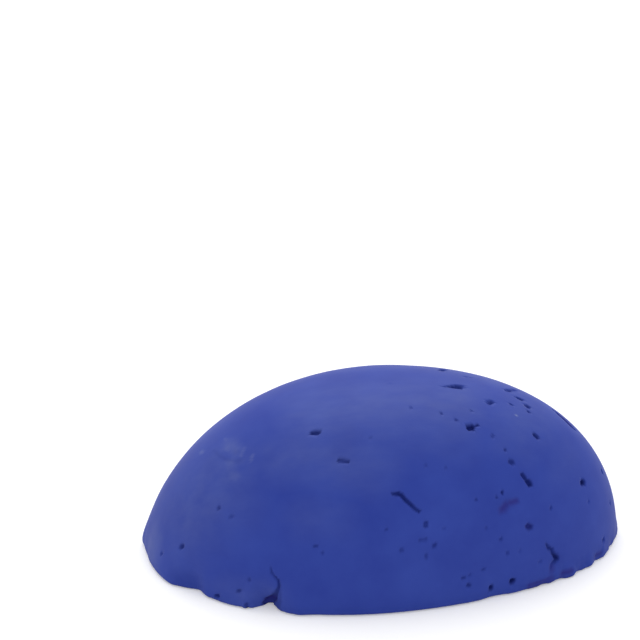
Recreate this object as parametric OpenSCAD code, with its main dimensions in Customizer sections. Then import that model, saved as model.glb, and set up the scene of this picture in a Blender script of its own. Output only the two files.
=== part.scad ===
// Soft pastel: one hand-formed half egg of pressed pigment, pitted all over.
//
// Millimetres. The flat foot lies at z = 0 with the origin at the middle of its
// bounding box, +X runs along the length and the cleft side of the rim faces -Y.
// A place on the skin is given by two numbers, so that every pit, crack and chip
// follows the form when a size changes:
//   azimuth  degrees round +Z from +X (180 is the pointed end, 270 the cleft side)
//   lift     0 at the rim to 1 at the crown

/* [Overall size] */
// Length of the stick along X, before the rim's own unevenness
length = 50.8; // [40:0.1:80]
// Width of the stick along Y, before the rim's own unevenness
width = 28.6; // [22:0.1:45]
// Height of the crown above the foot
height = 19.7; // [14:0.1:28]
// Radius of the worn edge round the foot
foot_radius = 0.4; // [0.2:0.05:0.8]

/* [Form] */
// Power of the plan outline: 2 is an ellipse, less is more pointed
plan_power = 1.95; // [1.8:0.01:2.4]
// How much the width narrows towards +X and grows towards -X, as a share
taper = 0.074; // [0:0.002:0.15]
// How the plan shrinks towards the crown: less gives fuller shoulders
shoulder_power = 0.818; // [0.65:0.001:1]
// How the skin rises from the rim: less gives a steeper wall
rise_power = 1.108; // [0.9:0.001:1.3]
// How much steeper the wall is at +X than at -X
rise_skew = 0.155; // [0:0.005:0.25]
// How far the crown sits towards +X
crown_lean = 1.02; // [-3:0.02:3]

/* [Wear] */
// Strength of the lumps and hollows round the rim, 1 is as found
rim_wear = 1; // [0:0.05:1.4]
// Depth of the open cracks
crack_depth = 0.45; // [0.3:0.05:0.9]
// Depth of the cleft under the rim's lump
cleft_depth = 1; // [0.8:0.1:2]
// Depth of a pit as a share of its width
pit_depth = 0.75; // [0.6:0.05:1.2]

/* [Hidden] */

pigment = "#3a4a9d";

// Lumps (+) and hollows (-) of the rim: azimuth, spread in degrees, reach, fading height
RIM = [
    [177, 1.8, 0.34, 2.5],      // blunt point of the left end
    [183.5, 2.2, -0.11, 3],
    [197.5, 7.4, 0.51, 3],      // lip beside the point
    [202.8, 3.2, -0.95, 2.5],   // dent between the lip and the lump
    [215.4, 4.7, 0.34, 2],      // lump
    [219.5, 1.7, 0.9, 2.5],     // the lump's edge over the cleft
    [222.9, 4.4, -1.31, 2.5],   // mouth of the cleft
    [235, 3.9, 0.3, 3],
    [313.5, 4.5, -0.32, 3],     // long shallow hollow before the crumbled stretch
    [331, 1, 0.12, 1],
    [334.3, 1, -0.16, 1],
    [336.5, 1.9, 0.43, 1.2],    // largest crumb
    [343, 1.2, 0.23, 1],
    [346, 0.9, -0.2, 1],
    [348.6, 1.2, 0.17, 1.2],
    [352.8, 1.4, -0.25, 1.2],
    [0, 2, 0.23, 1.4],          // blunt right end
    [38, 9, 0.2, 2.5],          // the far side is only a little uneven
    [66, 6, -0.25, 2],
    [104, 11, 0.25, 3],
    [141, 6, -0.25, 2.5]
];

// Open pits: azimuth, lift, length, width, tilt from level
PITS = [
    [217.6, 0.72, 1.05, 0.5, 15], [241.6, 0.616, 1.35, 0.4, -8],
    [287.2, 0.338, 0.75, 0.5, 70], [285.4, 0.278, 1, 0.35, -8],
    [290.2, 0.249, 0.55, 0.4, 80], [286.8, 0.213, 0.6, 0.4, -84],
    [275.4, 0.256, 0.45, 0.35, 0], [30, 0.812, 1.1, 0.7, 86],
    [347.8, 0.737, 0.95, 0.6, -12], [327, 0.686, 0.95, 0.65, -10],
    [329.6, 0.683, 0.7, 0.3, 5], [3.4, 0.698, 0.95, 0.45, -62],
    [7, 0.663, 1.1, 0.35, -64], [0, 0.669, 1.05, 0.5, 82],
    [356, 0.634, 0.65, 0.5, -70], [345, 0.546, 1, 0.42, -72],
    [330, 0.488, 0.8, 0.6, -47], [330.4, 0.407, 1.1, 0.4, -62],
    [331.8, 0.386, 0.95, 0.6, -60], [346.6, 0.299, 0.9, 0.52, -38],
    [326.8, 0.231, 0.95, 0.6, -35], [319.2, 0.037, 0.75, 0.52, 24],
    [312, 0.031, 0.85, 0.55, -88], [301, 0.097, 0.55, 0.42, 11],
    [303.2, 0.062, 0.5, 0.35, -31], [198, 0.187, 0.78, 0.5, 39],
    [219.8, 0.15, 0.45, 0.35, 60], [216.8, 0.08, 0.6, 0.4, 32],
    [210.6, 0.022, 0.65, 0.5, 10], [203.4, 0.379, 0.45, 0.3, 15],
    [238.6, 0.294, 0.45, 0.38, 19], [242.4, 0.266, 0.35, 0.3, 0],
    [357.4, 0.264, 0.6, 0.3, 60], [348.8, 0.049, 0.5, 0.35, -50],
    [319.6, 0.779, 0.35, 0.3, 0], [324, 0.727, 0.4, 0.3, -20],
    [321.2, 0.385, 0.35, 0.3, 0], [331.2, 0.544, 0.35, 0.3, 0]
];

// Fewer pits on the far side, given in the same way
FAR_PITS = [
    [24, 0.2, 0.75, 0.5, 20], [33, 0.43, 0.9, 0.5, -30], [47, 0.66, 0.6, 0.45, 0],
    [58, 0.09, 0.85, 0.5, 60], [71, 0.5, 1, 0.42, 15], [97, 0.74, 0.8, 0.5, -10],
    [108, 0.16, 0.6, 0.5, 0], [122, 0.4, 0.75, 0.42, 40], [148, 0.28, 0.6, 0.45, -20]
];

// Open cracks: azimuth, lift and width at each bend
LONG_CRACK = [
    [270.6, 0.473, 0.2], [272.6, 0.473, 0.4], [274.6, 0.466, 0.5], [276.4, 0.45, 0.42],
    [279.4, 0.421, 0.35], [282, 0.4, 0.35], [284.5, 0.384, 0.2]
];
HOOKED_CRACK = [
    [331.2, 0.138, 0.25], [332.1, 0.11, 0.35], [332.8, 0.083, 0.6],
    [332.4, 0.069, 0.6], [331.2, 0.055, 0.35], [330.8, 0.037, 0.25]
];
CLEFT_CRACK = [
    [226.8, 0.09, 0.5], [227.9, 0.125, 0.32], [227.3, 0.152, 0.24],
    [225.4, 0.18, 0.2], [223.6, 0.205, 0.2]
];
TEAR = [[350, 0.9, 0.15], [353.4, 0.886, 0.25], [355, 0.87, 0.5], [356, 0.857, 0.95]];
SCRATCH = [[0.6, 0.45, 0.3], [1.4, 0.475, 0.5], [2.8, 0.5, 0.5], [4.3, 0.525, 0.3]];

// Shallow scooped flakes: azimuth, lift, length, width, tilt, depth
FLAKES = [[322.3, 0.34, 1.5, 0.8, 20, 0.22], [199.8, 0.055, 3.2, 2, 20, 0.15]];

// Corners of the cleft: azimuth, lift, share of the cleft's depth, size. The low ones
// run on down through the foot, where the cleft is open
CLEFT = [[221.6, 0.02, 0, 0.4], [225.4, 0.03, 0, 0.4], [223.8, 0.01, 1, 0.5]];
CLEFT_TOP = [226.8, 0.1, 0, 0.3];

// Steps in azimuth: wide on the plain far side, fine where the rim is broken
AZIMUTHS = [
    for (a = [4:4:168]) a,
    for (a = [171:2:193]) a,
    for (a = [195:1:231]) a,
    for (a = [233:2:325]) a,
    for (a = [326:1:363]) a
];
columns = len(AZIMUTHS);
wall_rows = 15;
foot_rows = 3;
skin_rows = foot_rows + wall_rows;
pit_facets = 8;
crack_facets = 6;
probe = 0.25; // step in degrees of azimuth for slopes of the skin
probe_lift = 0.003;

function total(list) = list * [for (v = list) 1];
function unit(v) = v / norm(v);
function turn(a, b) = (a - b + 540) % 360 - 180;

// Plan radius of the ideal outline at an azimuth
function plan_radius(a) =
    let (along = abs(cos(a)) * 2 / length,
         across = abs(sin(a)) * 2 / (width * (1 - taper * cos(a))))
    pow(pow(along, plan_power) + pow(across, plan_power), -1 / plan_power);

// How far the uneven rim stands out at an azimuth and a height
function rim_reach(a, z) = rim_wear * total([
    for (w = RIM) w[2] * exp(-pow(turn(a, w[0]) / w[1], 2) - pow(z / w[3], 2))
]);

// A point of the wall, before the whole is centred over its foot
function wall_point(a, lift) =
    let (shrink = pow(cos(90 * lift), shoulder_power),
         rise = pow(sin(90 * lift), rise_power - rise_skew * cos(a)),
         z = foot_radius + (height - foot_radius) * rise,
         r = (plan_radius(a) + rim_reach(a, z)) * shrink)
    [crown_lean * (1 - shrink) + r * cos(a), r * sin(a), z];

// A point of the rounded foot edge, which turns from 0 at the wall to 90 under it
function foot_point(a, bend) =
    let (z = foot_radius * (1 - sin(bend)),
         r = plan_radius(a) + rim_reach(a, z) - foot_radius * (1 - cos(bend)))
    [r * cos(a), r * sin(a), z];

wall_lifts = [for (i = [0:wall_rows - 1]) pow(i / wall_rows, 1.1)];
raw_skin = [
    for (i = [0:foot_rows - 1]) for (a = AZIMUTHS) foot_point(a, 90 * (1 - i / foot_rows)),
    for (lift = wall_lifts) for (a = AZIMUTHS) wall_point(a, lift)
];
xs = [for (p = raw_skin) p[0]];
ys = [for (p = raw_skin) p[1]];
centre = [(min(xs) + max(xs)) / 2, (min(ys) + max(ys)) / 2, 0];

function skin(a, lift) = wall_point(a, lift) - centre;
function level(a, lift) = unit(skin(a + probe, lift) - skin(a - probe, lift));
function upward(a, lift) =
    unit(skin(a, lift + probe_lift) - skin(a, max(0, lift - probe_lift)));
function outward(a, lift) = unit(cross(level(a, lift), upward(a, lift)));

// A point sunk below the skin
function below(a, lift, depth) = skin(a, lift) - depth * outward(a, lift);

// The whole form before anything is broken out of it
module blank() {
    crown = len(raw_skin);
    last = crown - columns;
    points = [for (p = raw_skin) p - centre, [crown_lean, 0, height] - centre];
    sides = [
        for (row = [0:skin_rows - 2]) for (i = [0:columns - 1])
            let (j = (i + 1) % columns, low = row * columns, high = low + columns)
            each [[low + i, high + i, high + j], [low + i, high + j, low + j]]
    ];
    cap = [for (i = [0:columns - 1]) [last + i, crown, last + (i + 1) % columns]];
    foot = [[for (i = [0:columns - 1]) i]];
    polyhedron(points = points, faces = concat(foot, sides, cap));
}

// A rounded hollow with a level or tilted long axis
module pit(azimuth, lift, run, across, tilt, depth) {
    axis = cos(tilt) * level(azimuth, lift) + sin(tilt) * upward(azimuth, lift);
    middle = below(azimuth, lift, depth - across / 2);
    hull()
        for (side = [-1, 1])
            translate(middle + side * (run - across) / 2 * axis)
                sphere(d = across, $fn = pit_facets);
}

// An open crack through a list of bends, narrower at its bottom than at the skin
module crack(bends) {
    for (i = [0:len(bends) - 2])
        hull()
            for (b = [bends[i], bends[i + 1]]) {
                translate(skin(b[0], b[1])) sphere(d = b[2], $fn = crack_facets);
                translate(below(b[0], b[1], crack_depth))
                    sphere(d = b[2] / 2, $fn = crack_facets);
            }
}

// The pocket torn out under the lump of the rim
module cleft() {
    hull() {
        cleft_corner(CLEFT_TOP);
        for (c = CLEFT) {
            cleft_corner(c);
            translate([0, 0, -2 * foot_radius]) cleft_corner(c);
        }
    }
}

module cleft_corner(c) {
    translate(below(c[0], c[1], c[2] * cleft_depth))
        sphere(d = c[3], $fn = pit_facets);
}

module pastel() {
    color(pigment)
        difference() {
            blank();
            for (p = concat(PITS, FAR_PITS)) pit(p[0], p[1], p[2], p[3], p[4], pit_depth * p[3]);
            for (f = FLAKES) pit(f[0], f[1], f[2], f[3], f[4], f[5]);
            for (bends = [LONG_CRACK, HOOKED_CRACK, CLEFT_CRACK, TEAR, SCRATCH]) crack(bends);
            cleft();
        }
}

pastel();
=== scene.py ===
"""Hand-formed soft pastel: its skin, its finish and a plain studio round it.

The pastel is one piece, a half egg of pressed ultramarine pigment that stands on a flat
foot. The form is the ideal half egg with a lumpy rim. The marks are what broke, bruised or
dusted it: open pits, cracks, a cleft, shallow scoops and handled places. Part of their
colour is painted light: painted shade in the pits, cracks, cleft and scoops and under the
rim's crumbs, and painted highlight on the crown and beside the tear. Fine crumbs along
the rim and slow waves over the skin are noise. A place on the skin is an azimuth in degrees
round +Z from +X and a lift, which runs from 0 at the rim to 1 at the crown. Sizes are
millimetres until the mesh is written in metres.
"""

import logging
import math
from dataclasses import dataclass, field
from enum import Enum
from typing import NamedTuple

import bpy
import numpy as np
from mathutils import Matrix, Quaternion, Vector


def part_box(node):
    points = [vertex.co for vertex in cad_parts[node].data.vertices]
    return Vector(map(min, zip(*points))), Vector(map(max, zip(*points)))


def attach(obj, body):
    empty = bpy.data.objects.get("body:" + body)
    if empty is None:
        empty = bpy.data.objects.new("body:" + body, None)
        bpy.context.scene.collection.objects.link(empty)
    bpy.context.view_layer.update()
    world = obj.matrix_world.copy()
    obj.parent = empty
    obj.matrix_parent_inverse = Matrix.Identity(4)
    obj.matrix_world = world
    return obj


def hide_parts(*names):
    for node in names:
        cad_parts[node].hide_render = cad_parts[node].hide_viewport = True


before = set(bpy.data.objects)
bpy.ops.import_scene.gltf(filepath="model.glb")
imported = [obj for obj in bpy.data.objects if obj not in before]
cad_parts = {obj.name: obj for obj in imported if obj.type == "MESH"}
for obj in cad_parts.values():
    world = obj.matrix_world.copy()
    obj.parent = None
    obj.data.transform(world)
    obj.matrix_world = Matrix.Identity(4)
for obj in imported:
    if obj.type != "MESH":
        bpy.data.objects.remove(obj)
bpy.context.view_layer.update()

MM = 0.001
LOG = logging.getLogger("soft_pastel")


# --- Small helpers -----------------------------------------------------------------------


def smooth_step(low: float, high: float, value: np.ndarray) -> np.ndarray:
    """Rise from 0 at low to 1 at high along 3 t squared less 2 t cubed."""
    t = np.clip((value - low) / (high - low), 0, 1)
    return t * t * (3 - 2 * t)


def unit(vectors: np.ndarray) -> np.ndarray:
    """Each vector over its own length."""
    return vectors / np.linalg.norm(vectors, axis=-1, keepdims=True)


def turn_from(middle: float, azimuth: np.ndarray) -> np.ndarray:
    """Degrees from a middle azimuth to each azimuth, between -180 and 180."""
    return (azimuth - middle + 540) % 360 - 180


def lattice_noise(x: np.ndarray, y: np.ndarray, seed: int) -> np.ndarray:
    """Smooth noise between -1 and 1 with one value for each unit cell.

    Random heights sit on the corners of a wrapping lattice. Between the corners of a cell
    they are blended by the same cubic step along x and along y.

    Args:
        x: places along the first direction, in cells.
        y: places along the second direction, in cells.
        seed: which lattice to draw.

    Returns:
        The noise at each place.
    """
    side = 64
    corners = np.random.default_rng(seed).uniform(-1, 1, (side, side))
    column, row = np.floor(x).astype(int), np.floor(y).astype(int)
    across, up = smooth_step(0, 1, x - column), smooth_step(0, 1, y - row)
    low = (1 - across) * corners[row % side, column % side]
    low += across * corners[row % side, (column + 1) % side]
    high = (1 - across) * corners[(row + 1) % side, column % side]
    high += across * corners[(row + 1) % side, (column + 1) % side]
    return (1 - up) * low + up * high


def linear(hex_colour: str, alpha: float = 1.0) -> tuple[float, float, float, float]:
    """A colour written as sRGB hex, as the linear values that a shader takes.

    Args:
        hex_colour: a hash and two hex digits each for red, green and blue.
        alpha: the fourth value, which is passed on as it is.

    Returns:
        Linear red, green and blue by the sRGB curve, and alpha.
    """
    channels = [int(hex_colour[i : i + 2], 16) / 255 for i in (1, 3, 5)]
    bent = [c / 12.92 if c <= 0.04045 else ((c + 0.055) / 1.055) ** 2.4 for c in channels]
    return (*bent, alpha)


class Grain(NamedTuple):
    """A layer of lattice noise: its height, the two sides of its cells, and its seed.

    The sides are millimetres. The height is too, or a share where the sum is scaled after.
    The shift moves the lattice, in cells.
    """

    height: float
    wide: float
    tall: float
    seed: int
    shift: float = 0.0

    def over(self, x: np.ndarray, y: np.ndarray) -> np.ndarray:
        """The layer's height at places given in millimetres."""
        return self.height * lattice_noise(x / self.wide + self.shift, y / self.tall + self.shift, self.seed)


class Stretch(NamedTuple):
    """A stretch of the rim: the azimuths where it begins, is full, starts to end and is over."""

    begin: float
    full: float
    ending: float
    over: float

    def share(self, azimuth: np.ndarray) -> np.ndarray:
        """1 within the stretch and 0 outside it, with a smooth step at each end."""
        rising = smooth_step(self.begin, self.full, azimuth)
        return rising * (1 - smooth_step(self.ending, self.over, azimuth))


# --- The form ----------------------------------------------------------------------------


class Swell(NamedTuple):
    """A lump (+) or hollow (-) of the rim, as a bell curve round it that fades upwards."""

    azimuth: float
    spread: float
    reach: float
    fade: float


# The same swells as the solid has, so that the skin lies on it
RIM = (
    Swell(177, 1.8, 0.34, 2.5),  # blunt point of the left end
    Swell(183.5, 2.2, -0.11, 3),
    Swell(197.5, 7.4, 0.51, 3),  # lip beside the point
    Swell(202.8, 3.2, -0.95, 2.5),  # dent between the lip and the lump
    Swell(215.4, 4.7, 0.34, 2),  # lump
    Swell(219.5, 1.7, 0.9, 2.5),  # the lump's edge over the cleft
    Swell(222.9, 4.4, -1.31, 2.5),  # mouth of the cleft
    Swell(235, 3.9, 0.3, 3),
    Swell(313.5, 4.5, -0.32, 3),  # long shallow hollow before the crumbled stretch
    Swell(331, 1, 0.12, 1),
    Swell(334.3, 1, -0.16, 1),
    Swell(336.5, 1.9, 0.43, 1.2),  # largest crumb
    Swell(343, 1.2, 0.23, 1),
    Swell(346, 0.9, -0.2, 1),
    Swell(348.6, 1.2, 0.17, 1.2),
    Swell(352.8, 1.4, -0.25, 1.2),
    Swell(0, 2, 0.23, 1.4),  # blunt right end
    Swell(38, 9, 0.2, 2.5),  # the far side is only a little uneven
    Swell(66, 6, -0.25, 2),
    Swell(104, 11, 0.25, 3),
    Swell(141, 6, -0.25, 2.5),
)


@dataclass(frozen=True)
class HalfEgg:
    """The ideal half egg with its lumpy rim.

    Its plan is a superellipse that narrows towards +X. Its wall shrinks from that plan to
    nothing by a power of cosine, while it rises to the crown by a power of sine, and the
    crown sits a little off the middle of the foot.
    """

    length: float
    width: float
    height: float
    foot_radius: float = 0.4
    plan_power: float = 1.95
    taper: float = 0.074
    shoulder_power: float = 0.818
    rise_power: float = 1.108
    rise_skew: float = 0.155
    crown_lean: float = 1.02
    rim: tuple[Swell, ...] = RIM

    @classmethod
    def from_box(cls, low: Vector, high: Vector, rim_growth: float = 0.43) -> "HalfEgg":
        """The form that fills a box in metres, less what the lumps add to length and width."""
        length, width, height = (high - low) / MM
        return cls(length - rim_growth, width - rim_growth, height)

    def plan_radius(self, azimuth: np.ndarray) -> np.ndarray:
        """Radius of the superellipse: its two shares, each to the plan power, add up to 1.

        Args:
            azimuth: degrees round +Z from +X.

        Returns:
            The radius at each azimuth, without the lumps of the rim.
        """
        cos, sin = np.cos(np.radians(azimuth)), np.sin(np.radians(azimuth))
        along = np.abs(cos) * 2 / self.length
        across = np.abs(sin) * 2 / (self.width * (1 - self.taper * cos))
        power = self.plan_power
        return (along**power + across**power) ** (-1 / power)

    def rim_reach(self, azimuth: np.ndarray, z: np.ndarray) -> np.ndarray:
        """How far the rim stands out: the sum of its bell curves, each fading with z squared.

        Args:
            azimuth: degrees round +Z from +X.
            z: height over the ground.

        Returns:
            What the lumps add to the plan radius at each place.
        """
        reach = np.zeros(np.broadcast(azimuth, z).shape)
        for swell in self.rim:
            turn = turn_from(swell.azimuth, azimuth)
            reach += swell.reach * np.exp(-((turn / swell.spread) ** 2) - (z / swell.fade) ** 2)
        return reach

    def wall(self, azimuth: np.ndarray, lift: np.ndarray) -> np.ndarray:
        """Points of the wall.

        The radius is the plan radius and the rim's reach, times cosine of the lift's angle
        to the shoulder power. The height is sine of that angle to the rise power, which is
        less at +X, where the wall is steeper.

        Args:
            azimuth: degrees round +Z from +X.
            lift: 0 at the rim to 1 at the crown.

        Returns:
            An array of points, with x, y and z last.
        """
        angle = np.radians(azimuth)
        bend = np.pi / 2 * np.clip(lift, 0, 1)
        shrink = np.clip(np.cos(bend), 0, 1) ** self.shoulder_power
        rise = np.sin(bend) ** (self.rise_power - self.rise_skew * np.cos(angle))
        z = self.foot_radius + (self.height - self.foot_radius) * rise
        radius = (self.plan_radius(azimuth) + self.rim_reach(azimuth, z)) * shrink
        x = self.crown_lean * (1 - shrink) + radius * np.cos(angle)
        return np.stack([x, radius * np.sin(angle), z], axis=-1)

    def foot_edge(self, azimuth: np.ndarray, bend: float) -> np.ndarray:
        """Points of the worn foot edge, which is a quarter round.

        Args:
            azimuth: degrees round +Z from +X.
            bend: degrees round the edge, from 0 at the wall to 90 at the foot.

        Returns:
            An array of points, with x, y and z last.
        """
        z = np.full(azimuth.shape, self.foot_radius * (1 - math.sin(math.radians(bend))))
        inset = self.foot_radius * (1 - math.cos(math.radians(bend)))
        radius = self.plan_radius(azimuth) + self.rim_reach(azimuth, z) - inset
        angle = np.radians(azimuth)
        return np.stack([radius * np.cos(angle), radius * np.sin(angle), z], axis=-1)

    def slopes(self, azimuth: np.ndarray, lift: np.ndarray) -> tuple[np.ndarray, np.ndarray]:
        """Change of the wall's point for a degree of azimuth and for a unit of lift.

        Args:
            azimuth: degrees round +Z from +X.
            lift: 0 at the rim to 1 at the crown.

        Returns:
            The level slope and the upward slope at each place, by small steps either way.
        """
        turn, climb = 0.05, 0.0005
        low, high = np.maximum(lift - climb, 0), np.minimum(lift + climb, 1)
        level = (self.wall(azimuth + turn, lift) - self.wall(azimuth - turn, lift)) / (2 * turn)
        upward = self.wall(azimuth, high) - self.wall(azimuth, low)
        return level, upward / (high - low)[..., None]

    def outward(self, azimuth: np.ndarray, lift: np.ndarray) -> np.ndarray:
        """Unit normal of the wall, the cross product of its two slopes."""
        level, upward = self.slopes(azimuth, lift)
        return unit(np.cross(level, upward))


# --- The marks ---------------------------------------------------------------------------


class Bend(NamedTuple):
    """One bend of a mark's middle line: its place, width and depth, and how dark it is."""

    azimuth: float
    lift: float
    width: float
    depth: float
    dark: float


class Pit(NamedTuple):
    """An open pit: its place, its length, width and tilt from level, and how dark it is."""

    azimuth: float
    lift: float
    run: float
    across: float
    tilt: float
    dark: float = 1.0
    depth_share: float = 0.75


class Speck(NamedTuple):
    """A small pit: its place, its length, and how dark it is."""

    azimuth: float
    lift: float
    run: float
    dark: float

    def pit(self, roundness: float = 0.85, tilt: float = 30) -> Pit:
        """The speck as a pit that slants and is nearly round."""
        return Pit(self.azimuth, self.lift, self.run, self.run * roundness, tilt, self.dark)


class Stain(Enum):
    """What colour a mark lays on the skin: pigment it lays bare, dust it leaves, and painted shade and
    painted highlight.
    """

    # bare pigment in pits and cracks, clean skin in the wipes, and painted shade in the pits, cracks, cleft
    # and scoops
    HOLLOW_AND_SHADE = "hollow"
    # violet pigment inside some pits and the scratch, and painted shade under the rim's crumbs and in the
    # cleft
    VIOLET_AND_SHADE = "violet_and_shade"
    # loose dust, and painted highlight across the crown, where it lies on dust streaks, and beside the tear
    DUST_AND_HIGHLIGHT = "dust"


class Edge(Enum):
    """How a mark runs out: its wall, then its stain, each between two distances.

    The distances are counted from the middle line in half widths of the mark.
    """

    CRISP = ((0.45, 1.15), (0.6, 1.25))
    SOFT = ((0, 1.15), (0, 1.3))


# The dark of each pit and speck is bare pigment and painted shade in its hollow.
PITS = (
    # high on the left-hand flank
    Pit(217, 0.72, 1.1, 0.55, 15, 0.7), Pit(241, 0.615, 1.3, 0.45, -8, 0.5),
    # under the long crack
    Pit(287, 0.335, 0.75, 0.5, 75, 0.4), Pit(285, 0.28, 1, 0.4, -5, 0.2),
    Pit(290, 0.25, 0.6, 0.5, 45, 0.3), Pit(286, 0.215, 0.6, 0.4, 90, 0.2),
    Pit(275, 0.255, 0.5, 0.45, 0, 0.2),
    # high on the right-hand flank
    Pit(31, 0.805, 1.1, 0.7, 90, 0.8), Pit(348, 0.745, 0.8, 0.6, -10, 0.5),
    Pit(326, 0.68, 1, 0.65, -10, 0.9), Pit(329, 0.68, 0.7, 0.3, 5, 0.7),
    Pit(4, 0.7, 1, 0.45, -60, 0.5), Pit(6.5, 0.675, 1, 0.4, -60, 0.4),
    Pit(359.5, 0.67, 0.9, 0.45, 85, 0.6), Pit(356, 0.64, 0.65, 0.5, -70, 0.7),
    Pit(344.5, 0.545, 0.9, 0.45, -70, 0.7),
    # lower on the right-hand flank
    Pit(330, 0.49, 0.75, 0.6, -45, 0.4), Pit(331, 0.42, 1, 0.45, -70, 0.7),
    Pit(331.5, 0.39, 1, 0.6, -70, 0.8), Pit(347, 0.3, 0.85, 0.6, -20, 1),
    Pit(326.5, 0.23, 0.9, 0.65, -45, 0.5),
    # along the rim before the crumbled stretch
    Pit(319, 0.04, 0.75, 0.6, 25, 1), Pit(312, 0.03, 0.75, 0.55, 90, 0.9),
    Pit(301, 0.1, 0.55, 0.45, 10, 0.3), Pit(303, 0.065, 0.55, 0.45, -30, 0.5),
    # the left end and the lump
    Pit(197.5, 0.19, 0.7, 0.55, 40, 0.5), Pit(219, 0.14, 0.5, 0.4, 60, 0.2),
    Pit(216.5, 0.08, 0.6, 0.45, 30, 0.3), Pit(210.5, 0.02, 0.65, 0.5, 10, 0.6),
    Pit(203, 0.375, 0.45, 0.4, 0, 0.3),
    # right of the cleft
    Pit(238.5, 0.295, 0.55, 0.4, 10, 0.3), Pit(241.5, 0.27, 0.35, 0.35, 0, 0.2),
    # low at the right end
    Pit(357, 0.265, 0.6, 0.3, 60, 0.6), Pit(348.5, 0.05, 0.5, 0.4, -50, 0.5),
    # small ones between the others
    Pit(319, 0.78, 0.35, 0.3, 0, 0.3), Pit(323, 0.73, 0.4, 0.35, -20, 0.3),
    Pit(321.5, 0.385, 0.4, 0.35, 0, 0.8), Pit(331, 0.545, 0.35, 0.3, 0, 0.4),
)
FAR_PITS = (  # fewer, on the far side
    Pit(24, 0.2, 0.75, 0.5, 20, 0.6), Pit(33, 0.43, 0.9, 0.5, -30, 0.8),
    Pit(47, 0.66, 0.6, 0.45, 0, 0.5), Pit(58, 0.09, 0.85, 0.5, 60, 0.7),
    Pit(71, 0.5, 1.0, 0.42, 15, 0.8), Pit(97, 0.74, 0.8, 0.5, -10, 0.6),
    Pit(108, 0.16, 0.6, 0.5, 0, 0.5), Pit(122, 0.4, 0.75, 0.42, 40, 0.7),
    Pit(148, 0.28, 0.6, 0.45, -20, 0.6), Pit(66, 0.46, 0.45, 0.4, 0, 0.3),
    Pit(29, 0.35, 0.45, 0.4, 0, 0.3), Pit(127, 0.45, 0.4, 0.4, 0, 0.25),
    Pit(90, 0.05, 0.6, 0.45, 0, 0.4), Pit(137, 0.12, 0.45, 0.4, 0, 0.3),
)
# Their dark is bare pigment and painted shade, as with the pits.
SPECKS = (
    Speck(14, 0.805, 0.3, 0.3), Speck(13, 0.795, 0.25, 0.2), Speck(352.5, 0.69, 0.3, 0.6),
    Speck(353, 0.63, 0.35, 0.6), Speck(311, 0.385, 0.35, 0.3), Speck(302, 0.535, 0.4, 0.05),
    Speck(291.5, 0.56, 0.4, 0.05), Speck(254, 0.71, 0.35, 0.05), Speck(297, 0.84, 0.4, 0.1),
    Speck(319, 0.375, 0.35, 0.4), Speck(334.5, 0.27, 0.4, 0.3), Speck(346, 0.225, 0.4, 0.1),
    Speck(335.5, 0.75, 0.3, 0.2), Speck(331, 0.615, 0.5, 0.15), Speck(208, 0.36, 0.6, 0.05),
    Speck(192, 0.115, 0.5, 0.2), Speck(312, 0.27, 0.4, 0.1), Speck(316.5, 0.215, 0.5, 0.2),
    Speck(318, 0.155, 0.5, 0.2), Speck(309, 0.115, 0.5, 0.2), Speck(303.5, 0.105, 0.4, 0.2),
    Speck(295, 0.305, 0.4, 0.05), Speck(268, 0.34, 0.4, 0.2), Speck(328, 0.085, 0.5, 0.1),
    Speck(322, 0.15, 0.4, 0.1), Speck(219.5, 0.01, 0.6, 0.4), Speck(354.5, 0.15, 0.4, 0.2),
)

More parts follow.
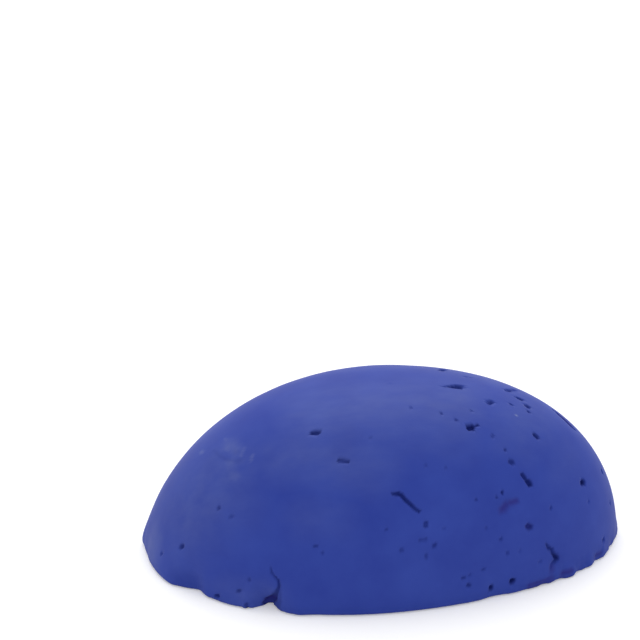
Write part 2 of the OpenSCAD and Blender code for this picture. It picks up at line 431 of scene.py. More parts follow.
# The dark of each crack is bare pigment and painted shade in its groove.
CRACKS = (
    (  # the long crack across the front
        Bend(270.5, 0.475, 0.2, 0.2, 0.3), Bend(272, 0.47, 0.3, 0.3, 0.5),
        Bend(274, 0.47, 0.4, 0.4, 0.6), Bend(276, 0.46, 0.4, 0.4, 0.6),
        Bend(278, 0.44, 0.4, 0.4, 0.5), Bend(281, 0.415, 0.35, 0.4, 0.4),
        Bend(282.5, 0.4, 0.35, 0.3, 0.4), Bend(284, 0.39, 0.3, 0.3, 0.5),
        Bend(285, 0.39, 0.2, 0.2, 0.3),
    ),
    (  # the hooked crack near the crumbled rim
        Bend(330.5, 0.145, 0.2, 0.2, 0.3), Bend(331, 0.125, 0.4, 0.3, 0.5),
        Bend(332, 0.115, 0.4, 0.3, 0.6), Bend(332, 0.1, 0.4, 0.3, 0.5),
        Bend(332.5, 0.09, 0.5, 0.4, 0.7), Bend(333, 0.075, 0.7, 0.5, 1),
        Bend(332.5, 0.065, 0.5, 0.3, 0.5), Bend(331.5, 0.06, 0.4, 0.2, 0.3),
        Bend(331, 0.045, 0.4, 0.1, 0.2),
    ),
    (  # the cleft along the edge of the lump, which narrows upwards into a crack
        # painted shade: the cleft's dark is the shade in its crease and on the down-facing wall under the
        # lump
        Bend(222, -0.015, 0.8, 0.2, 0.6), Bend(223.5, 0.02, 1.1, 0.45, 0.6),
        Bend(225.5, 0.05, 0.9, 0.5, 0.5), Bend(227, 0.09, 0.5, 0.4, 0.4),
        Bend(228, 0.125, 0.3, 0.3, 0.3), Bend(227.5, 0.155, 0.2, 0.3, 0.2),
        Bend(226, 0.17, 0.2, 0.2, 0.2), Bend(225, 0.185, 0.2, 0.2, 0.2),
        Bend(224.5, 0.205, 0.15, 0.1, 0.1),
    ),
    (  # the slope beside the cleft
        # painted shade on a shallow valley beside the cleft
        Bend(228, 0.13, 0.3, 0.08, 0.1), Bend(228, 0.09, 0.6, 0.15, 0.2),
        Bend(227.5, 0.05, 1.0, 0.14, 0.3), Bend(226.5, 0.01, 1.3, 0.05, 0.4),
    ),
    (  # the tear on the crown, thin at one end and wide at the other
        Bend(352.5, 0.895, 0.15, 0.05, 0.1), Bend(353.5, 0.885, 0.2, 0.15, 0.3),
        Bend(355, 0.87, 0.5, 0.4, 0.8), Bend(356, 0.86, 0.7, 0.4, 0.8),
        Bend(356.5, 0.85, 0.8, 0.4, 0.5),
    ),
    (  # the scratch high on the right-hand flank
        Bend(0.5, 0.445, 0.3, 0.15, 0.7), Bend(1, 0.465, 0.6, 0.3, 1),
        Bend(2, 0.495, 0.6, 0.3, 1), Bend(4, 0.53, 0.35, 0.15, 0.7),
    ),
)
# Painted shade: these dents barely sink, and their dark stands in for the shade in them.
PAINTED_SHADE_SCOOPS = (  # shallow and wide, so that the skin is darker there but unbroken
    Pit(200.5, 0.05, 4.6, 2.6, 10, 0.14, 0.06), Pit(321, 0.35, 3.5, 2.5, 0, 0.08, 0.01),
    Pit(333, 0.07, 2.2, 1.8, 0, 0.12, 0.02), Pit(308, 0.6, 2.5, 1.2, 0, 0.06, 0.01),
)
WIPES = (  # clean skin where a finger rubbed the loose dust into curls
    (
        Bend(187, 0.525, 0.6, 0.01, 0.12), Bend(191, 0.525, 0.5, 0.02, 0.12),
        Bend(194, 0.53, 0.6, 0.02, 0.17), Bend(197, 0.535, 0.6, 0.02, 0.12),
        Bend(199, 0.545, 0.9, 0.02, 0.14),
    ),
    (
        Bend(193.5, 0.57, 0.5, 0.01, 0.06), Bend(195, 0.565, 0.8, 0.02, 0.14),
        Bend(196, 0.57, 0.5, 0.01, 0.1),
    ),
)
VIOLETS_AND_RIM_SHADE = (  # places that lay the violet inside bare, and painted shade under the rim's crumbs and in the cleft's mouth
    # The marks at a lift of 0.04 or less are painted shade along the foot of the rim and in the cleft's
    # mouth.
    Pit(324, 0.34, 1.6, 0.9, 0, 0.7, 0.2), Pit(320.5, 0.33, 1.8, 1.3, 40, 0.7, 0.2),
    Pit(223.5, 0.03, 1.6, 1.0, 20, 0.7, 0.1), Pit(326.5, 0.23, 1.0, 0.8, -45, 0.4, 0.1),
    Pit(331.5, 0.04, 1.4, 1.0, 80, 0.5, 0.1), Pit(335.5, 0.01, 1.9, 1.0, 0, 0.8, 0.1),
    Pit(328, 0.005, 3.6, 0.8, 0, 0.75, 0.1), Pit(346.5, 0.01, 1.5, 0.9, 0, 0.6, 0.1),
    Pit(2, 0.485, 2.6, 1.1, 65, 0.65, 0.1), Pit(52, 0.01, 2.4, 0.8, 0, 0.5, 0.1),
    Pit(97.5, 0.008, 3.0, 0.8, 0, 0.4, 0.1), Pit(121, 0.39, 1.2, 0.8, 30, 0.3, 0.1),
)
DUSTINGS_AND_HIGHLIGHTS = (  # lighter places: dust where the skin was handled, and painted highlight on the crown and beside the tear
    Pit(187, 0.12, 6.5, 5, 75, 0.26), Pit(196, 0.4, 18, 15, 60, 0.2),  # the left end
    Pit(220, 0.07, 8, 5, 0, 0.12), Pit(237, 0.4, 9, 7, 0, 0.09),  # over the cleft
    Pit(346.5, 0.42, 8, 7, 0, 0.08),  # the right end
    Pit(192, 0.57, 4.6, 3.2, 0, 0.3), Pit(191, 0.56, 1.4, 1.1, 0, 0.4),  # the curls
    Pit(197, 0.575, 1.5, 0.9, -80, 0.4), Pit(186.5, 0.575, 1.1, 0.8, 20, 0.4),
    Pit(202, 0.57, 1.2, 0.8, -70, 0.4), Pit(183, 0.49, 1.1, 0.8, 20, 0.4),
    Pit(199, 0.51, 4.0, 2.6, -40, 0.3), Pit(230, 0.62, 17, 9, 0, 0.18),
    Pit(75, 0.62, 30, 13, -8, 0.16), Pit(130, 0.35, 20, 12, 25, 0.14),  # the far side
    # painted highlight: small lit spots beside the tear
    Pit(345, 0.9, 1.8, 0.9, 0, 0.2), Pit(338, 0.94, 2.0, 1.0, 0, 0.05),  # beside the tear
    # across the crown: dust streaks, with painted highlight where the crown is lit
    Pit(214, 0.87, 1.5, 0.7, 0, 0.2), Pit(262, 0.88, 26, 11, 0, 0.22),  # across the crown
    Pit(290, 0.75, 16, 8, 0, 0.1), Pit(347, 0.62, 12, 9, 0, 0.16),
    Pit(347.5, 0.65, 0.3, 0.25, 0, 1.0),  # a white crumb
)

FAINT_DEPTH = 0.35  # share of its full depth that the faintest pit keeps


@dataclass(frozen=True)
class Mark:
    """A mark on the skin, drawn in the flat plane that touches the form at its middle.

    The plane's first axis is level and its second points up the wall. A row of bends holds
    a place in the plane, and the width, depth and darkness there.
    """

    form: HalfEgg
    azimuth: float
    lift: float
    bends: np.ndarray
    stain: Stain = Stain.HOLLOW_AND_SHADE
    edge: Edge = Edge.CRISP

    @classmethod
    def from_pit(cls, form: HalfEgg, pit: Pit, stain: Stain = Stain.HOLLOW_AND_SHADE,
                 edge: Edge = Edge.CRISP) -> "Mark":
        """A straight mark with round ends, laid at its tilt through its place.

        A faint pit is also shallow: its depth is its share of the width, less up to 65%.

        Args:
            form: the form that it marks.
            pit: its place, size and darkness.
            stain: what colour it lays on the skin.
            edge: how it runs out.

        Returns:
            The mark.
        """
        tilt = math.radians(pit.tilt)
        half = (pit.run - pit.across) / 2
        end = (half * math.cos(tilt), half * math.sin(tilt))
        depth = pit.depth_share * pit.across * (FAINT_DEPTH + (1 - FAINT_DEPTH) * pit.dark)
        kept = (pit.across, depth, pit.dark)
        bends = np.array([(-end[0], -end[1], *kept), (*end, *kept)])
        return cls(form, pit.azimuth, pit.lift, bends, stain, edge)

    @classmethod
    def from_bends(cls, form: HalfEgg, bends: tuple[Bend, ...], edge: Edge = Edge.CRISP) -> "Mark":
        """A bent mark, with its middle at the middle bend.

        Args:
            form: the form that it marks.
            bends: the bends of its middle line, in order.
            edge: how it runs out.

        Returns:
            The mark.
        """
        middle = bends[len(bends) // 2]
        seat = cls(form, middle.azimuth, middle.lift, np.zeros((2, 5)))
        table = np.array(bends, float)
        line = seat.flatten(table[:, 0], table[:, 1])
        return cls(form, middle.azimuth, middle.lift, np.hstack([line, table[:, 2:]]), edge=edge)

    def plane(self) -> tuple[np.ndarray, np.ndarray, np.ndarray]:
        """The flat plane that touches the form at the mark's middle.

        Returns:
            The touching point, the two axes as rows, and the wall's two slopes along them.
        """
        azimuth, lift = np.array([float(self.azimuth)]), np.array([max(self.lift, 0.0)])
        level, upward = (slope[0] for slope in self.form.slopes(azimuth, lift))
        normal = unit(np.cross(level, upward))
        first = unit(level)
        axes = np.stack([first, np.cross(normal, first)])
        return self.form.wall(azimuth, lift)[0], axes, np.stack([level, upward]) @ axes.T

    def flatten(self, azimuth: np.ndarray, lift: np.ndarray) -> np.ndarray:
        """Places on the skin as places in the plane, in millimetres.

        A place under the rim, with a lift below 0, goes on down the plane by the slope.

        Args:
            azimuth: degrees round +Z from +X.
            lift: 0 at the rim to 1 at the crown.

        Returns:
            An array of places, with the level axis and the upward axis last.
        """
        origin, axes, slopes = self.plane()
        flat = (self.form.wall(azimuth, np.maximum(lift, 0)) - origin) @ axes.T
        return flat + np.minimum(lift, 0)[..., None] * slopes[1]

    def near(self, azimuth: np.ndarray, lift: np.ndarray, reach: float) -> tuple[np.ndarray, ...]:
        """The places that the mark could touch, by the slopes at its middle.

        Args:
            azimuth: degrees round +Z from +X.
            lift: 0 at the rim to 1 at the crown.
            reach: how far beyond its edge the mark acts, in millimetres.

        Returns:
            The indices of those places.
        """
        slack = 1.6  # the slopes change away from the middle
        slopes = self.plane()[2]
        span = np.abs(self.bends[:, :2]).max() + self.bends[:, 2].max() + reach
        turn = np.abs(turn_from(self.azimuth, azimuth))
        wide = span / np.linalg.norm(slopes[0]) * slack
        tall = span / np.linalg.norm(slopes[1]) * slack
        return np.nonzero((turn < wide) & (np.abs(lift - self.lift) < tall))

    def nearest(self, flat: np.ndarray) -> tuple[np.ndarray, np.ndarray]:
        """The nearest place on the middle line, where near is counted in the width there.

        Args:
            flat: places in the plane.

        Returns:
            The distance of each place from the line in widths, and the line's own row there.
        """
        least = 1e-9  # stands in for the run of a round mark, whose two ends meet
        widths_off = np.full(len(flat), np.inf)
        rows = np.zeros((len(flat), self.bends.shape[1]))
        for start, end in zip(self.bends[:-1], self.bends[1:]):
            run = end[:2] - start[:2]
            share = np.clip((flat - start[:2]) @ run / max(run @ run, least), 0, 1)
            row = start + share[:, None] * (end - start)
            off = np.linalg.norm(flat - row[:, :2], axis=1) / row[:, 2]
            rows = np.where((off < widths_off)[:, None], row, rows)
            widths_off = np.minimum(off, widths_off)
        return widths_off, rows

    def draw_in(self, azimuth: np.ndarray, lift: np.ndarray, pull: float = 0.6) -> None:
        """Draw the grid in towards the mark, so that it is finest where the skin is broken.

        A place at distance d keeps d times 1 less pull times (1 - d / reach) squared, where
        the reach is half the width and a margin. Places stay in order for a pull under 1.

        Args:
            azimuth: azimuths of the grid, which are changed in place.
            lift: lifts of the grid, which are changed in place.
            pull: the share of its distance that the nearest place gives up.
        """
        margin = 1.0
        near = self.near(azimuth, lift, margin)
        flat = self.flatten(azimuth[near], lift[near])
        widths_off, rows = self.nearest(flat)
        width = rows[:, 2]
        share = pull * np.clip(1 - widths_off * width / (width / 2 + margin), 0, 1) ** 2
        moved = (-(flat - rows[:, :2]) * share[:, None]) @ np.linalg.inv(self.plane()[2])
        azimuth[near] += moved[:, 0]
        lift[near] += moved[:, 1]

    def cut(self, azimuth: np.ndarray, lift: np.ndarray) -> tuple[tuple, np.ndarray, np.ndarray]:
        """How deep and how plain the mark is at each place near it.

        The distance to the middle line is counted in half widths and wavers a little round
        the mark, so that no edge is a true circle. The wall of the mark falls between 1.15
        and 0.45 half widths. A soft mark thins out from its middle instead. A stain fades
        where the skin turns away from the plane.

        Args:
            azimuth: degrees round +Z from +X.
            lift: 0 at the rim to 1 at the crown.

        Returns:
            The indices of the places, the depth there in millimetres, and the share 0 to 1.
        """
        margin, oval, ragged, fully_faced = 0.5, 0.1, 0.08, 0.4
        near = self.near(azimuth, lift, margin)
        flat = self.flatten(azimuth[near], lift[near])
        widths_off, rows = self.nearest(flat)
        round_it = np.arctan2(*(flat - rows[:, :2]).T)
        phase = self.azimuth + 7 * self.lift  # another for each mark
        waver = 1 + oval * np.sin(2 * round_it + phase) + ragged * np.sin(5 * round_it - phase)
        ratio = 2 * widths_off * waver
        wall, stain = self.edge.value
        sunk = rows[:, 3] * (1 - smooth_step(*wall, ratio))
        facing = self.form.outward(azimuth[near], lift[near]) @ np.cross(*self.plane()[1])
        share = rows[:, 4] * (1 - smooth_step(*stain, ratio)) * smooth_step(0, fully_faced, facing)
        return near, sunk, share


# --- The pastel --------------------------------------------------------------------------


@dataclass
class Pastel:
    """The stick as one closed mesh over the form, with every mark cut into it.

    The mesh is a grid of rows and columns. Its rows run from the middle of the foot out to
    the rim, round the foot edge, and up the wall to the crown. Its columns stand closest on
    the side that holds most of the marks.
    """

    form: HalfEgg
    columns: int = 690
    wall_rows: int = 125
    foot_rows: int = 5
    base_rows: int = 6
    marked_side: tuple[float, float] = (172.0, 366.0)
    marked_middle: float = 270.0
    far_share: float = 0.42
    crumbled: Stretch = Stretch(-52, -30, -2, 4)  # at the right end
    torn: Stretch = Stretch(192, 198, 232, 240)  # from the lip to the cleft
    crumb_height: float = 0.012  # outwards, all round the rim
    crumbled_height: float = 0.085  # more along each of the two stretches
    torn_height: float = 0.04
    crumb_fade: float = 1.3
    crumb_grains: tuple[Grain, ...] = (Grain(1, 0.9, 0.7, 3), Grain(0.5, 0.4, 0.4, 4))
    waves: tuple[Grain, ...] = (Grain(0.03, 5, 4, 5, 9), Grain(0.012, 1.7, 1.4, 6))
    calm_lift: float = 0.05  # the waves die out below it
    marks: list[Mark] = field(default_factory=list)

    def plan_marks(self) -> None:
        """Draw every mark of the skin in its own plane."""
        self.marks += [Mark.from_pit(self.form, pit) for pit in PITS + FAR_PITS]
        self.marks += [Mark.from_bends(self.form, bends) for bends in CRACKS]
        self.marks += [Mark.from_pit(self.form, speck.pit()) for speck in SPECKS]
        self.marks += [Mark.from_bends(self.form, bends, Edge.SOFT) for bends in WIPES]
        for stain, pits in ((Stain.HOLLOW_AND_SHADE, PAINTED_SHADE_SCOOPS), (Stain.VIOLET_AND_SHADE, VIOLETS_AND_RIM_SHADE), (Stain.DUST_AND_HIGHLIGHT, DUSTINGS_AND_HIGHLIGHTS)):
            self.marks += [Mark.from_pit(self.form, pit, stain, Edge.SOFT) for pit in pits]

    def column_azimuths(self) -> np.ndarray:
        """Azimuths at even steps of rim length, with wider steps on the far side.

        Returns:
            An azimuth for each column.
        """
        steps = 3600
        fine = np.linspace(0, 360, steps + 1)
        points = self.form.foot_edge(fine, 0)
        step = np.linalg.norm(np.diff(points, axis=0), axis=1)
        middle = (fine[1:] + fine[:-1]) / 2
        start, end = self.marked_side
        marked = (middle > start) | (middle < end - 360)
        weight = np.cumsum(step * np.where(marked, 1, self.far_share))
        wanted = np.arange(self.columns) / self.columns * weight[-1]
        return np.interp(wanted, np.concatenate([[0], weight]), fine)

    def row_lifts(self) -> np.ndarray:
        """Lifts at even steps of wall length, measured up the middle of the marked side.

        Returns:
            A lift for each row of the wall.
        """
        steps = 2000
        fine = np.linspace(0, 1, steps + 1)
        points = self.form.wall(np.full(fine.shape, self.marked_middle), fine)
        length = np.cumsum(np.linalg.norm(np.diff(points, axis=0), axis=1))
        wanted = np.arange(self.wall_rows) / self.wall_rows * length[-1]
        return np.interp(wanted, np.concatenate([[0], length]), fine)

    def crumbs(self, azimuth: np.ndarray, z: np.ndarray) -> np.ndarray:
        """Small crumbs of the broken rim.

        Two layers of noise, coarse and fine, strongest along the crumbled stretch. They
        fade upwards as a bell curve and are nearly gone 2 mm above the foot.

        Args:
            azimuth: degrees round +Z from +X, from 0 to 360.
            z: height over the ground.

        Returns:
            How far the crumbs stand out, in millimetres.
        """
        turn = turn_from(0, azimuth)
        along = np.radians(turn + 360) * self.form.length / 2
        grain = sum(layer.over(along, z) for layer in self.crumb_grains)
        height = self.crumb_height + self.crumbled_height * self.crumbled.share(turn)
        height = height + self.torn_height * self.torn.share(azimuth)
        return grain * height * np.exp(-((z / self.crumb_fade) ** 2))

    def unevenness(self, points: np.ndarray) -> np.ndarray:
        """Slow waves that fingers leave in the skin, outwards in millimetres."""
        return sum(layer.over(points[..., 0], points[..., 1]) for layer in self.waves)

    def grid(self) -> tuple[np.ndarray, dict[Stain, np.ndarray]]:
        """All rows of the mesh, from the rim of the foot's underside to the crown.

        Returns:
            Points as rows by columns by 3, and the share of each stain as rows by columns.
        """
        azimuth = np.tile(self.column_azimuths(), (self.wall_rows, 1))
        lift = np.tile(self.row_lifts()[:, None], (1, self.columns))
        for mark in self.marks:
            if mark.stain is not Stain.DUST_AND_HIGHLIGHT:
                mark.draw_in(azimuth, lift)
                lift[0] = 0
        wall = self.form.wall(azimuth, lift)
        outward = self.form.outward(azimuth, lift)
        depth = np.zeros(lift.shape)
        stains = {stain: np.zeros(lift.shape) for stain in Stain}
        for mark in self.marks:
            near, sunk, share = mark.cut(azimuth, lift)
            if mark.stain is not Stain.DUST_AND_HIGHLIGHT:
                depth[near] = np.maximum(depth[near], sunk)
            stains[mark.stain][near] = np.maximum(stains[mark.stain][near], share)
        uneven = self.unevenness(wall) * smooth_step(0, self.calm_lift, lift)
        raised = self.crumbs(azimuth, wall[..., 2]) + uneven
        wall = wall + outward * (raised - depth)[..., None]
        wall[..., 2] = np.maximum(wall[..., 2], self.form.foot_radius)

        rim_azimuth, level = azimuth[0], outward[0] * (1, 1, 0)
        edge = []
        for i in range(self.foot_rows):
            ring = self.form.foot_edge(rim_azimuth, 90 * (1 - i / self.foot_rows))
            raised = self.crumbs(rim_azimuth, ring[:, 2]) - depth[0]
            edge.append(ring + unit(level) * raised[:, None])
        rows = np.concatenate([np.array(edge), wall])
        for stain, share in stains.items():
            stains[stain] = np.concatenate([np.tile(share[0], (self.foot_rows, 1)), share])
        return rows, stains

    def build(self) -> bpy.types.Object:
        """Close the grid at the foot and the crown, seat it in its box and make the mesh.

        Rings of the foot are the rim's underside drawn in towards the middle. The seam
        closes because the last column is followed by the first.

        Returns:
            The skin, smooth and with the share of each stain at its points.
        """
        rows, stains = self.grid()
        low, high = rows.reshape(-1, 3).min(0), rows.reshape(-1, 3).max(0)
        middle = (low + high) / 2 * (1, 1, 0)
        crown = np.array([self.form.crown_lean, 0, self.form.height])
        shares = np.arange(1, self.base_rows + 1) / (self.base_rows + 1)
        base = [middle + share * (rows[0] - middle) for share in shares]
        rows = np.concatenate([np.array(base), rows])
        points = np.concatenate([rows.reshape(-1, 3), [middle, crown]]) - middle

        count, columns = len(rows) * self.columns, self.columns
        here = np.arange(count).reshape(len(rows), columns)
        beside = np.roll(here, -1, axis=1)
        quads = np.stack([here[:-1], beside[:-1], beside[1:], here[1:]], axis=-1)
        foot_fan = np.stack([np.full(columns, count), beside[0], here[0]], axis=-1)
        crown_fan = np.stack([here[-1], beside[-1], np.full(columns, count + 1)], axis=-1)
        faces = quads.reshape(-1, 4).tolist() + foot_fan.tolist() + crown_fan.tolist()

        mesh = bpy.data.meshes.new("pastel_skin")
        mesh.from_pydata(points * MM, [], faces)
        mesh.polygons.foreach_set("use_smooth", np.ones(len(mesh.polygons), bool))
        for stain, share in stains.items():
            under = np.zeros((self.base_rows, columns))
            values = np.concatenate([under.ravel(), share.ravel(), [0, 0]])
            layer = mesh.attributes.new(stain.value, "FLOAT", "POINT")
            layer.data.foreach_set("value", values.astype(np.float32))
        mesh.validate()
        skin = bpy.data.objects.new("pastel_skin", mesh)
        bpy.context.scene.collection.objects.link(skin)
        return skin


# --- The finishes ------------------------------------------------------------------------


def add_node(tree: bpy.types.NodeTree, kind: str, links: dict | None = None, **settings) -> bpy.types.Node:
    """Add one node with its settings and links.

    Args:
        tree: the node tree to add to.
        kind: the node's type name without ShaderNode.
        links: each input's name or number with the socket, or the plain value, that it takes.
        settings: attributes of the node itself.

    Returns:
        The new node.
    """
    node = tree.nodes.new("ShaderNode" + kind)
    for name, value in settings.items():
        setattr(node, name, value)
    for key, value in (links or {}).items():
        if isinstance(value, bpy.types.NodeSocket):
            tree.links.new(value, node.inputs[key])
        else:
            node.inputs[key].default_value = value
    return node


class Blotches(NamedTuple):
    """A noise pattern: the size of its blotches in millimetres, its detail and its contrast.

    Noise from low to high is stretched to run from least to 1.
    """

    size: float
    detail: float
    low: float
    high: float
    least: float = 0.0


@dataclass(frozen=True)
class PressedPigment:
    """Ultramarine pigment and chalk with a little gum, pressed by hand and air dried.

    A dry, open powder: no gloss, a soft bloom of loose dust at grazing angles, and a deep
    navy in pits that is partly bare pigment and partly painted shade.
    """

    body: str = "#1e3798"
    cloud: str = "#2841a1"
    mottle: str = "#15298a"
    # grey blue of loose dust, also painted highlight on the crown and beside the tear
    dust: str = "#727eaa"
    # deep navy of bare pigment, also painted shade in pits, cracks, the cleft and the scoops
    hollow: str = "#081a6a"
    # violet of the pigment inside, also painted shade under the rim's crumbs and in the cleft
    violet_and_shade: str = "#1d1676"
    roughness: float = 0.62
    hollow_roughness: float = 1.0
    ior: float = 1.45
    specular: float = 0.33
    sheen: float = 0.05
    sheen_roughness: float = 0.5
    sheen_tint: str = "#e4e6ff"
    clouds: Blotches = Blotches(5.0, 4, 0.3, 0.7)
    mottles: Blotches = Blotches(2.2, 4, 0.25, 0.75)
    mottle_share: float = 0.16
    streaks: Blotches = Blotches(1.3, 5, 0.3, 0.75, 0.5)
    streak_squeeze: tuple[float, float, float] = (0.4, 1, 1)  # long blotches along the pastel
    grain_size: float = 0.16  # pigment grains are far finer: drawn as coarse as they show
    grain_detail: float = 3
    grain_height: float = 0.02
    grain_strength: float = 0.35

    def make(self) -> bpy.types.Material:
        """Build the material: clouds, dust, stains, painted shade and painted highlight over the body
        colour, and a fine grain.

        Returns:
            The material, which reads the stains from the mesh that wears it.
        """
        material = bpy.data.materials.new("pressed_ultramarine_pigment")
        material.use_nodes = True
        tree = material.node_tree
        shader = tree.nodes["Principled BSDF"]
        place = add_node(tree, "TexCoord").outputs["Object"]
        squeezed = add_node(tree, "Mapping", {"Vector": place, "Scale": self.streak_squeeze}).outputs[0]

        shares = []
        for blotches, where in ((self.clouds, place), (self.mottles, place), (self.streaks, squeezed)):
            pattern = {"Vector": where, "Scale": 1 / (blotches.size * MM), "Detail": blotches.detail}
            noise = add_node(tree, "TexNoise", pattern).outputs["Fac"]
            contrast = {"Value": noise, "From Min": blotches.low, "From Max": blotches.high}
            contrast["To Min"] = blotches.least
            shares.append(add_node(tree, "MapRange", contrast).outputs["Result"])
        clouds, mottles, streaks = shares

        stains = {}
        for stain in Stain:
            stains[stain] = add_node(tree, "Attribute", attribute_name=stain.value).outputs["Fac"]
        mottled = add_node(tree, "Math", {0: mottles, 1: self.mottle_share}, operation="MULTIPLY")
        # Streaked dust: on the crown it is dust and painted highlight, beside the tear painted highlight.
        dusted = add_node(tree, "Math", {0: streaks, 1: stains[Stain.DUST_AND_HIGHLIGHT]}, operation="MULTIPLY")
        # The deep navy coat is bare pigment and painted shade, the violet coat violet pigment and painted
        # shade, the grey dust coat dust and painted highlight.
        coats = (
            (clouds, self.cloud),
            (mottled.outputs[0], self.mottle),
            (dusted.outputs[0], self.dust),
            (stains[Stain.HOLLOW_AND_SHADE], self.hollow),
            (stains[Stain.VIOLET_AND_SHADE], self.violet_and_shade),
        )
        colour = linear(self.body)
        for share, top in coats:  # inputs 6 and 7 and output 2 of a Mix node are its colours
            laid = add_node(tree, "Mix", {0: share, 6: colour, 7: linear(top)}, data_type="RGBA")
            colour = laid.outputs[2]

        pattern = {"Vector": place, "Scale": 1 / (self.grain_size * MM), "Detail": self.grain_detail}
        grain = add_node(tree, "TexNoise", pattern).outputs["Fac"]
        relief = {"Height": grain, "Strength": self.grain_strength, "Distance": self.grain_height * MM}
        rough = {"Value": stains[Stain.HOLLOW_AND_SHADE], "To Min": self.roughness, "To Max": self.hollow_roughness}
        tree.links.new(colour, shader.inputs["Base Color"])
        tree.links.new(add_node(tree, "Bump", relief).outputs[0], shader.inputs["Normal"])
        tree.links.new(add_node(tree, "MapRange", rough).outputs["Result"], shader.inputs["Roughness"])
        shader.inputs["IOR"].default_value = self.ior
        shader.inputs["Specular IOR Level"].default_value = self.specular
        shader.inputs["Sheen Weight"].default_value = self.sheen
        shader.inputs["Sheen Roughness"].default_value = self.sheen_roughness
        shader.inputs["Sheen Tint"].default_value = linear(self.sheen_tint)
        return material


@dataclass(frozen=True)
class StudioPaper:
    """Matt white background paper.

    The camera sees a little of its own white added, so that it reads as bare paper, while
    the rest is lit and keeps the object's shadow.
    """

    colour: str = "#f2f2f2"
    glow: float = 0.25

    def make(self) -> bpy.types.Material:
        """Build the material from a lit diffuse part and a glow that only the camera sees.

        Returns:
            The material.
        """
        material = bpy.data.materials.new("white_background_paper")
        material.use_nodes = True
        tree = material.node_tree
        tree.nodes.clear()
        lit = add_node(tree, "BsdfDiffuse", {"Color": linear(self.colour)}).outputs[0]
        seen = add_node(tree, "LightPath").outputs["Is Camera Ray"]
        strength = add_node(tree, "Math", {0: seen, 1: self.glow}, operation="MULTIPLY").outputs[0]
        glow = add_node(tree, "Emission", {"Strength": strength}).outputs[0]
        both = add_node(tree, "AddShader", {0: lit, 1: glow}).outputs[0]
        add_node(tree, "OutputMaterial", {"Surface": both})
        return material


# --- The studio --------------------------------------------------------------------------


class Lamp(NamedTuple):
    """A square soft box: its place and side in metres, and its power in watts."""

    place: tuple[float, float, float]
    side: float
    power: float


@dataclass(frozen=True)
class Studio:
    """A white table in an even white room, with soft boxes over and behind the pastel."""

    floor_half: float = 3.0
    floor_drop: float = 0.00005
    room_light: float = 0.79
    lamps: tuple[Lamp, ...] = (
        Lamp((0.02, 0.34, 0.52), 0.75, 2.0),
        Lamp((0, 0.08, 0.7), 1.0, 0.4),
    )

    def floor(self) -> bpy.types.Object:
        """The table top, a little under the foot so that the two never share a plane.

        Returns:
            The floor.
        """
        half, z = self.floor_half, -self.floor_drop
        corners = [(-half, -half, z), (half, -half, z), (half, half, z), (-half, half, z)]
        mesh = bpy.data.meshes.new("floor")
        mesh.from_pydata(corners, [], [(0, 1, 2, 3)])
        mesh.materials.append(StudioPaper().make())
        floor = bpy.data.objects.new("floor", mesh)
        bpy.context.scene.collection.objects.link(floor)
        return floor

    def room(self) -> None:
        """An even white world, at full white to the camera and to gloss."""
        world = bpy.data.worlds.new("white_room")
        bpy.context.scene.world = world
        world.use_nodes = True
        tree = world.node_tree
        tree.nodes.clear()
        path = add_node(tree, "LightPath")
        seen = path.outputs["Is Camera Ray"]
        for ray in ("Is Glossy Ray", "Is Transmission Ray"):
            either = add_node(tree, "Math", {0: seen, 1: path.outputs[ray]}, operation="MAXIMUM")
            seen = either.outputs[0]
        strength = add_node(tree, "MapRange", {"Value": seen, "To Min": self.room_light, "To Max": 1.0})
        white = {"Color": linear("#ffffff"), "Strength": strength.outputs[0]}
        background = add_node(tree, "Background", white)
        add_node(tree, "OutputWorld", {"Surface": background.outputs[0]})

    def light(self) -> None:
        """Hang the soft boxes, each turned to face the pastel."""
        for number, lamp in enumerate(self.lamps):
            light = bpy.data.lights.new(f"soft_box_{number}", "AREA")
            light.size = lamp.side
            light.energy = lamp.power
            box = bpy.data.objects.new(light.name, light)
            box.location = lamp.place
            box.rotation_mode = "QUATERNION"
            box.rotation_quaternion = (-Vector(lamp.place)).to_track_quat("-Z", "Y")
            bpy.context.scene.collection.objects.link(box)


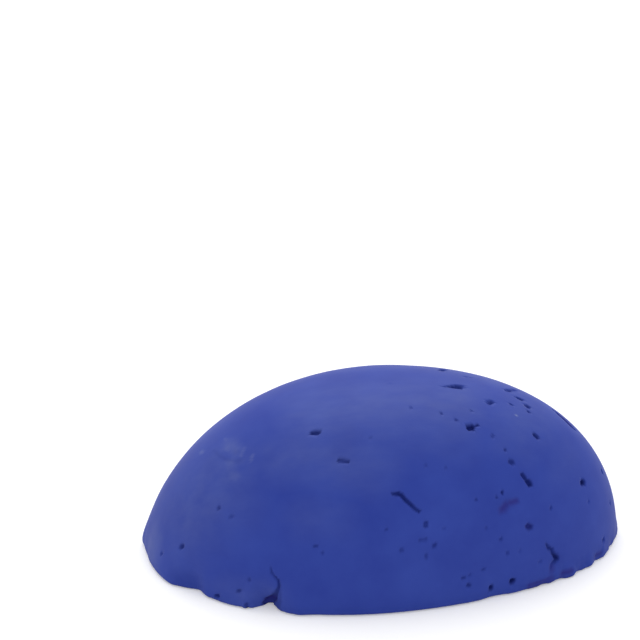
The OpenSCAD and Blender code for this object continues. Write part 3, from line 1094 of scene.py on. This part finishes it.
@dataclass(frozen=True)
class View:
    """The camera: a long lens a forearm away, looking down on the cleft side.

    The pastel lies low and to the right in the frame, so the camera points at a spot above
    and to the left of it. A shift of the lens isn't used.
    """

    elevation: float = 31.99
    turn: float = 4.02
    roll: float = -0.475
    distance: float = 0.45
    pixels_per_mm: float = 9.36
    frame_pixels: int = 640
    subject_height: float = 0.008
    subject_pixel: tuple[float, float] = (380.7, 476.9)
    sensor: float = 36.0
    clip_start: float = 0.01
    clip_end: float = 20.0

    def camera(self) -> bpy.types.Object:
        """Place the camera and make it the scene's.

        Returns:
            The camera.
        """
        elevation, turn = math.radians(self.elevation), math.radians(self.turn)
        back = Vector((
            -math.cos(elevation) * math.sin(turn),
            -math.cos(elevation) * math.cos(turn),
            math.sin(elevation),
        ))
        right = Vector((0, 0, 1)).cross(back).normalized()
        up = back.cross(right)
        subject = Vector((0, 0, self.subject_height))
        middle = self.frame_pixels / 2
        left_of_it = (self.subject_pixel[0] - middle) / self.pixels_per_mm * MM
        above_it = (self.subject_pixel[1] - middle) / self.pixels_per_mm * MM
        aim = subject - right * left_of_it + up * above_it
        place = subject + back * self.distance

        data = bpy.data.cameras.new("camera")
        data.sensor_width = self.sensor
        data.lens = self.sensor * self.pixels_per_mm * self.distance / MM / self.frame_pixels
        data.clip_start = self.clip_start
        data.clip_end = self.clip_end
        camera = bpy.data.objects.new("camera", data)
        camera.location = place
        camera.rotation_mode = "QUATERNION"
        roll = Quaternion((0, 0, 1), math.radians(self.roll))
        camera.rotation_quaternion = (aim - place).to_track_quat("-Z", "Y") @ roll
        bpy.context.scene.collection.objects.link(camera)
        bpy.context.scene.camera = camera
        return camera


def main() -> None:
    """Make the pastel, then the studio and the camera round it."""
    logging.basicConfig(level=logging.INFO, format="%(message)s")
    pastel = Pastel(HalfEgg.from_box(*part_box("pastel")))
    pastel.plan_marks()
    skin = pastel.build()
    skin.data.materials.append(PressedPigment().make())
    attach(skin, "root")
    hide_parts("pastel")
    LOG.info("%s: %d faces, %d marks", skin.name, len(skin.data.polygons), len(pastel.marks))

    studio = Studio()
    studio.floor()
    studio.room()
    studio.light()
    View().camera()
    bpy.context.scene.view_settings.view_transform = "Standard"
    LOG.info("studio and camera are set")


if __name__ == "__main__":
    main()
